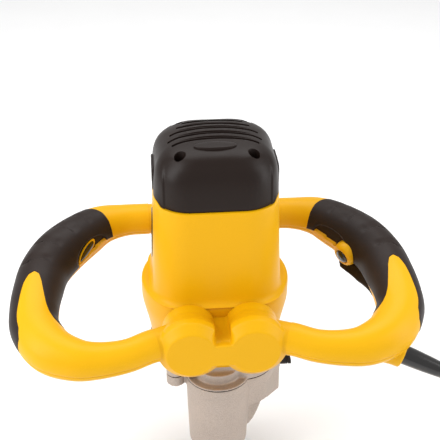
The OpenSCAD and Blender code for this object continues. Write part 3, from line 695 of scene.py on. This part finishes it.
def make_window(mats):
    rim = window_patch("left_window_rim", slant(lens_outline(40, 0.6), 0.55), 0.47, 24, -1.1, 0.0, 3.0,
                       mats["yellow"])
    shade_by_angle(rim, 40)
    lens = window_patch("left_window_lens", slant(lens_outline(40, 0.56), 0.55), 0.39, 19.5, -0.9, 0.7, 2.0,
                        mats["gloss_black"])
    shade_by_angle(lens, 50)
    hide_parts("left_window")


BEZEL_S, BEZEL_PHI = 9.9, 188.5


def make_switch(mats):
    centre, radius, out, up = handle_frame(BEZEL_S)
    a = math.radians(BEZEL_PHI)
    outward = math.cos(a) * out + math.sin(a) * up
    place = centre + radius * outward
    bezel = turned("lock_bezel_ring", [
        (6.7, -2.0), (6.7, 3.3), (7.0, 4.1), (7.7, 4.5), (8.8, 4.4), (9.9, 3.7), (10.9, 2.2), (11.5, 0.2),
        (11.9, -2.0), (12.1, -4.2), (11.0, -4.4), (9.0, -2.6)], place, outward, mats["yellow"], 64)
    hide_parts("lock_bezel")
    button = turned("lock_button_cap", [
        (0.01, 1.5), (6.3, 1.5), (6.3, 4.0), (6.0, 4.8), (5.2, 5.5), (3.6, 6.1), (1.8, 6.4), (0.01, 6.5)],
        place, outward, mats["gloss_black"], 48, body="lock_button")
    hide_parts("lock_button")


def make_trigger(mats):
    """Long lever with a rounded back, proud of the slot and deepest at its free end."""
    phi, half = 229.0, 4.0
    rings = []
    low, high = TRIGGER_S[0] + 0.2, TRIGGER_S[1] - 0.14
    count = 44
    for k in range(count):
        t = k / (count - 1)
        s = low + (high - low) * t
        centre, radius, out, up = handle_frame(s)
        a = math.radians(phi)
        away = math.cos(a) * out + math.sin(a) * up
        across = -math.sin(a) * out + math.cos(a) * up
        proud = trigger_proud(t)
        taper = 1 - 0.35 * smoothstep(0.93, 1.0, t) - 0.3 * smoothstep(0.05, 0.0, t)
        h = half * taper
        section = [(-h, -6), (-h, proud - 2.6), (-0.92 * h, proud - 1.4), (-0.7 * h, proud - 0.5),
                   (-0.35 * h, proud - 0.1), (0, proud), (0.35 * h, proud - 0.1), (0.7 * h, proud - 0.5),
                   (0.92 * h, proud - 1.4), (h, proud - 2.6), (h, -6)]
        rings.append([centre + (radius + d) * away + w * across for w, d in section])
    trigger = loft("trigger_lever", rings, mats["black"], body="trigger")
    shade_by_angle(trigger, 45)
    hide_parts("trigger")


def trigger_proud(t):
    """How far the lever stands out of the handle at t, from its pin at 0 to its free end at 1."""
    rise = 2.2 + 7.3 * smoothstep(0.0, 0.55, t)
    return rise - 0.8 * math.sin(math.pi * min(1, t / 0.8)) - 2.5 * smoothstep(0.94, 1, t)


# ---------------------------------------------------------------- motor unit

MOTOR_Y = 35.0
CAP_Z = 276.0
CAP_HALF_X, CAP_HALF_Y = 52.5, 50
COLLAR_TOP = 186.0
SCREW_X = 30.0


def rounded_outline(hx, hy, r, corner=28, side=6):
    """Counter-clockwise outline of a rounded rectangle, always with the same number of points."""
    r = min(r, hx - 0.2, hy - 0.2)
    points = []
    for quarter, (sx, sy) in enumerate(((1, 1), (-1, 1), (-1, -1), (1, -1))):
        cx, cy = sx * (hx - r), sy * (hy - r)
        for i in range(corner):
            a = math.radians(90 * (quarter + i / (corner - 1)))
            points.append((cx + r * math.cos(a), cy + r * math.sin(a)))
        ax, ay = points[-1]
        nx, ny = ((-sx * (hx - r), sy * hy) if quarter % 2 == 0 else (sx * hx, -sy * (hy - r)))
        for i in range(1, side):
            points.append((ax + (nx - ax) * i / side, ay + (ny - ay) * i / side))
    return points


def seam_rise(x):
    """The seam under the cap steps up on the left and right faces."""
    return 3.0 * smoothstep(46.3, 50.3, abs(x))


def band(name, levels, material):
    """Closed wall whose section is the closed list of (z, hx, hy, r, follows the seam)."""
    rings = []
    for z, hx, hy, r, seam in levels:
        rings.append([Vector((x, MOTOR_Y + y, z + seam * seam_rise(x * CAP_HALF_X / hx)))
                      for x, y in rounded_outline(hx, hy, r)])
    points, faces = skin_of(rings, loop=True)
    return mesh_piece(name, points, faces, material)


def make_motor_housing(mats):
    def half_width(z):
        return 56.0 - 3.4 * (z - COLLAR_TOP) / (CAP_Z - COLLAR_TOP)

    def wall(z, out=0.0, seam=0):
        t = (z - COLLAR_TOP) / (CAP_Z - COLLAR_TOP)
        return (z, half_width(z) + out, 51.6 - 1.5 * t + out, 31 + out * 0.5, seam)
    levels = [wall(COLLAR_TOP - 0.3, 3.6), wall(COLLAR_TOP + 0.1, 2.9), wall(187.0, 1.6), wall(188.4, 0.7),
              wall(190.4, 0.2), wall(193, 0.0)]
    levels += [wall(z) for z in (200, 210, 222, 234, 246, 256, 264, 270)]
    levels += [wall(274.6, 0, 1), wall(275.4, -0.2, 1), wall(275.7, -0.8, 1), wall(275.7, -2.8, 1),
               wall(270, -3), wall(230, -3), wall(190, -3), wall(COLLAR_TOP - 0.3, -3)]
    housing = band("motor_housing_skin", levels, mats["yellow"])
    shade_by_angle(housing, 40)
    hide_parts("motor_housing")

    plate_y, plate_z = MOTOR_Y + 4, 228
    outline = [(math.cos(a) * 15, math.sin(a) * 24) for a in [2 * math.pi * i / 40 for i in range(40)]]
    outline = [(max(-13, min(13, u)), v) for u, v in outline]
    loops = []
    for scale, lift in ((0.02, -0.5), (1.0, -0.5), (1.0, 0.5), (0.97, 0.8), (0.9, 0.85), (0.5, 0.85),
                        (0.02, 0.85)):
        points = [(plate_y + u * scale, plate_z + v * scale) for u, v in outline]
        loops.append([Vector((-half_width(z) - lift, y, z)) for y, z in points])
    label = loft("blank_side_plate", loops, mats["gloss_black"])
    shade_by_angle(label, 40)
    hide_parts("side_plate")


def collar_ring(z, radius, flat):
    """Circle about the motor axis with a softly cornered flat at the front."""
    ring = []
    count = 180
    for i in range(count):
        a = 2 * math.pi * i / count - math.pi / 2
        front = max(1e-3, -math.sin(a))
        reach = flat / front
        rho = (radius ** -26 + reach ** -26) ** (-1 / 26)
        ring.append(Vector((rho * math.cos(a), MOTOR_Y + rho * math.sin(a), z)))
    return ring


def make_collar(mats):
    top = COLLAR_TOP
    profile = [
        (top - 0.4, 43, 40), (top, 44, 41), (top, 60.5, 49.6), (top - 0.2, 62.6, 51.4),
        (top - 0.9, 64.3, 52.9), (top - 2.0, 65.3, 53.6), (top - 3.4, 65.7, 54.0), (top - 6, 65.8, 54.0),
        (176, 65.8, 54), (169, 65.7, 54), (165, 65.2, 54), (158, 63.8, 53.6), (148, 61.6, 52.6),
        (138, 59.6, 51.6), (128, 58.2, 50.6), (118, 57.0, 49.9), (113.4, 56.6, 49.6), (112.4, 56.0, 49.0),
        (112.0, 55.0, 48.2), (112.2, 52.6, 46.0), (140, 56, 48), (165, 61, 50), (180, 61.6, 50),
    ]
    points, faces = skin_of([collar_ring(z, radius, flat) for z, radius, flat in profile], loop=True)
    collar = mesh_piece("fan_housing_skin", points, faces, mats["yellow"])
    shade_by_angle(collar, 40)
    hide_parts("fan_housing")


def box_points(low, high):
    x0, y0, z0 = low
    x1, y1, z1 = high
    points = [(x, y, z) for x in (x0, x1) for y in (y0, y1) for z in (z0, z1)]
    faces = [(0, 1, 3, 2), (4, 6, 7, 5), (0, 4, 5, 1), (2, 3, 7, 6), (0, 2, 6, 4), (1, 5, 7, 3)]
    return points, faces


def gather(parts):
    """One list of points and faces from several closed solids."""
    points, faces = [], []
    for more_points, more_faces in parts:
        base = len(points)
        points += [tuple(p) for p in more_points]
        faces += [tuple(base + i for i in face) for face in more_faces]
    return points, faces


def arm_solid(low, high, side):
    """The handle's solid round between two stations, which the boss or bracket grows round."""
    return skin_of([[handle_at(s, 7.5 * k, -0.35, side) for k in range(48)] for s in spread(low, high, 26)])


def along_y(profile, x, z, count):
    """Solid of revolution about an axis along -Y. profile is (radius, y) pairs from back to front."""
    return skin_of([[(x + r * math.cos(2 * math.pi * i / count), y, z + r * math.sin(2 * math.pi * i / count))
                     for i in range(count)] for r, y in profile])


BOSS_X, BOSS_Z = 26.5, 167.0
BOSS_PROFILE = [(23.0, -18.5), (23.3, -30), (25.4, -38), (28.3, -46), (28.3, -52.5), (20.9, -60.0)]
CHANNEL_HALF = 6.6


def channel_wall(points, side):
    """Stands the inner top of a boss cylinder back from the channel between the two."""
    return [(side * max(CHANNEL_HALF, side * x), y, z) if z > BOSS_Z + 9 and side * x < CHANNEL_HALF
            else (x, y, z) for x, y, z in points]


def make_front_boss(mats):
    parts = []
    for side in (1, -1):
        points, faces = along_y(BOSS_PROFILE, BOSS_X * side, BOSS_Z, 160)
        parts.append((channel_wall(points, side), faces))
        parts.append(arm_solid(0, 1, side))
    parts.append(box_points((-15, -60.0, BOSS_Z - 12), (15, -18.5, BOSS_Z + 8.5)))
    points, faces = gather(parts)
    boss = mesh_piece("front_boss_skin", points, faces, mats["yellow"])
    melt(boss, 0.8, 5)
    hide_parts("front_boss")


def make_rear_bracket(mats):
    parts = [arm_solid(ROUTE_END - 1, ROUTE_END - 0.001, side) for side in (1, -1)]
    (bar_y, bar_z, bar_r), turn = ROUTE[-1][1:], 2 * math.pi / 48
    parts.append(skin_of([[(x, bar_y + bar_r * math.cos(turn * k), bar_z + bar_r * math.sin(turn * k))
                           for k in range(48)] for x in spread(-45, 45, 10)]))
    parts.append(box_points((-38, 86.2, 191), (38, 104, 215)))
    points, faces = gather(parts)
    bracket = mesh_piece("rear_bracket_skin", points, faces, mats["yellow"])
    melt(bracket, 1.1, 8)
    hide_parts("rear_bracket")


# ---------------------------------------------------------------- top cap

CAP_TOP = 325
ABOVE_CAP = 330
VENT_R = 120.0
# Each row of the grille: where its arc crosses the middle, and half its length.
VENTS = ((28.5, 26), (20.5, 31), (11.5, 37), (1.5, 39), (-8.0, 36))


def panel_inset(x, y, z):
    """The front and back faces are set in a little between two ribs that run down the corners."""
    rib = smoothstep(43.0, 45.2, abs(x))
    top = smoothstep(315.5, 318.5, z + 0.02 * max(0, abs(x) - 30) ** 2)
    return 1.7 * (1 - rib) * (1 - top) * smoothstep(14, 30, abs(y))


def make_cap(mats):
    profile = [
        (0.9, CAP_Z + 0.1, 1), (0.3, CAP_Z + 0.25, 1), (0.1, CAP_Z + 0.9, 1), (0.1, 280, 0), (0.2, 285, 0),
        (0.35, 290, 0), (0.6, 294, 0), (1.0, 298, 0), (1.5, 301.5, 0), (2.2, 304.5, 0), (3.2, 307.5, 0),
        (4.5, 310.3, 0), (6.1, 312.9, 0), (8.1, 315.3, 0), (10.5, 317.4, 0), (13.2, 319.2, 0),
        (16.2, 320.7, 0), (19.6, 321.9, 0), (23.5, 322.9, 0), (28, 323.7, 0), (33, 324.3, 0), (38, 324.7, 0),
        (43, 324.9, 0), (46.5, 325, 0),
    ]
    rings = []
    for inset, z, seam in profile:
        hx, hy = CAP_HALF_X - inset, CAP_HALF_Y - inset
        ring = []
        for x, y in rounded_outline(hx, hy, max(31 - 0.45 * inset, 3), corner=72, side=8):
            back = panel_inset(x, y, z)
            ring.append(Vector((x, MOTOR_Y + y - math.copysign(back, y), z + seam * seam_rise(x))))
        rings.append(ring)
    bottom = [[Vector((p.x * f, MOTOR_Y + (p.y - MOTOR_Y) * f, CAP_Z + 0.1 + seam_rise(p.x) * (f > 0.9)))
               for p in rings[0]] for f in (0.3, 0.93)]
    cap = loft("top_cap_skin", bottom + rings, mats["black"])
    bore = [(0.01, 292), (4.9, 292), (4.9, ABOVE_CAP), (0.01, ABOVE_CAP)]
    cutters = [turned("cutter", bore, (x * SCREW_X, MOTOR_Y + y * SCREW_X, 0), (0, 0, 1), None, 32, body=None)
               for x in (-1, 1) for y in (-1, 1)]
    cutters += vent_cutters()
    cut(cap, cutters)
    soften(cap, 0.8, 3, 40)
    apply_modifiers(cap)
    shade_by_angle(cap, 38)
    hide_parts("top_cap")
    make_cap_trim(mats)


def dome_height(x, y):
    """Height of the cap's crown at x, y from the motor's axis."""
    d = (abs(x) ** 3 + abs(y) ** 3) ** (1 / 3)
    return CAP_TOP - 0.0009 * max(0.0, d - 8) ** 2.35


def arc_strip(apex, half, width, depth):
    """Curved bar across the cap whose front edge arches to the rear."""
    rings = []
    for x in spread(-half, half, 28):
        sag = VENT_R - math.sqrt(VENT_R ** 2 - x * x)
        y0 = MOTOR_Y + apex - sag
        z0 = dome_height(x, y0 - MOTOR_Y) - depth
        rings.append([(x, y0 - width, z0), (x, y0, z0), (x, y0, ABOVE_CAP), (x, y0 - width, ABOVE_CAP)])
    return skin_of(rings)


def vent_cutters():
    """For each row of the grille, a shallow groove with a deep, narrower slot along its middle."""
    cutters = []
    slot = 3.0
    for apex, half in VENTS:
        for grow, width, depth in ((3.0, 5.6, 1.1), (0.0, slot, 7.0)):
            points, faces = arc_strip(apex + (width - slot) / 2, half + grow, width, depth)
            cutters.append(mesh_piece("cutter", points, faces, None, body=None))
    return cutters


def make_cap_trim(mats):
    for side, word in ((1, "right"), (-1, "left")):
        rings = []
        for lift, grow in ((-2.2, 0.0), (0.3, 0.0), (0.8, -0.5), (0.9, -1.4)):
            rings.append([Vector((side * (52.2 + lift), MOTOR_Y + y, 290 + z))
                          for y, z in rounded_outline(17 + grow, 10.5 + grow, 6)])
        pad = loft(word + "_brush_pad", rings, mats["black"])
        shade_by_angle(pad, 40)
    loops = []
    for scale, z in ((1.0, 322.6), (1.0, 324.3), (0.96, 324.7), (0.88, 324.9), (0.5, 325.0), (0.02, 325.0)):
        reach = 17.5 * scale
        loops.append([Vector((u * reach - 1, MOTOR_Y - 22.5 + v * reach, z - 0.010 * abs(u * reach) ** 1.2))
                      for u, v in lens_outline(56, 0.34)])
    badge = loft("blank_oval", loops, mats["black"])
    shade_by_angle(badge, 40)


# ---------------------------------------------------------------- carried-over CAD nodes

NODE_LOOKS = {
    "black": ("brush_caps", "switch_module", "selector_knob", "cooling_fan", "top_cap", "left_window",
              "lock_button", "trigger", "side_plate"),
    "yellow": ("motor_housing", "fan_housing", "front_boss", "rear_bracket", "left_lower_shell",
               "left_upper_shell", "right_lower_shell", "right_upper_shell", "lock_bezel"),
    "grip": ("left_grip", "right_grip"),
    "cord": ("cord_boot", "cord", "cord_coil", "plug", "oil_seal", "case_gasket"),
    "cast": ("gear_case", "gear_cover", "bearing_plate", "shift_fork"),
    "black_steel": ("cap_screws", "boss_screws", "bracket_screws", "handle_screws", "case_screws"),
    "steel": ("armature_shaft", "motor_bearing_lower", "motor_bearing_upper", "countershaft", "counter_gear",
              "counter_bearings", "spindle", "gear_cluster", "spindle_bearing_upper", "spindle_bearing_lower",
              "shift_rail", "selector_detent", "trigger_pin"),
    "cross_steel": ("plug_pins", "lock_spring", "trigger_spring", "brush_springs", "brush_holders"),
    "laminations": ("armature_core", "stator_core"),
    "copper": ("armature_windings", "field_coils", "commutator"),
    "carbon": ("brush_left", "brush_right"),
}
SOFTENED = {"selector_knob": 0.8, "case_screws": 0.3, "cap_screws": 0.3, "brush_caps": 0.4, "spindle": 0.5,
            "handle_screws": 0.3, "plug_pins": 0.6}


def dress_nodes(mats):
    for look, names in NODE_LOOKS.items():
        for name in names:
            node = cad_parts[name]
            node.data.materials.clear()
            node.data.materials.append(mats[look])
            if name in SOFTENED:
                soften(node, SOFTENED[name], 2, 40)


def make_castings(mats):
    """The gearbox castings, with the fillets and soft edges of a die casting."""
    for name in ("gear_case", "gear_cover"):
        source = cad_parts[name]
        mesh = source.data.copy()
        mesh.transform(source.matrix_world)
        skin = bpy.data.objects.new(name + "_casting", mesh)
        bpy.context.scene.collection.objects.link(skin)
        mesh.materials.clear()
        mesh.materials.append(mats["cast"])
        melt(skin, 0.9, 4)
        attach(skin, "machine")
        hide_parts(name)


make_camera()
materials = make_materials()
make_cord(materials)
make_neck(materials)
make_studio()
dress_nodes(materials)
for hand in (1, -1):
    make_shells(hand, materials)
    make_grip(hand, materials)
make_window(materials)
make_switch(materials)
make_trigger(materials)
make_motor_housing(materials)
make_collar(materials)
make_front_boss(materials)
make_rear_bracket(materials)
make_cap(materials)
make_castings(materials)
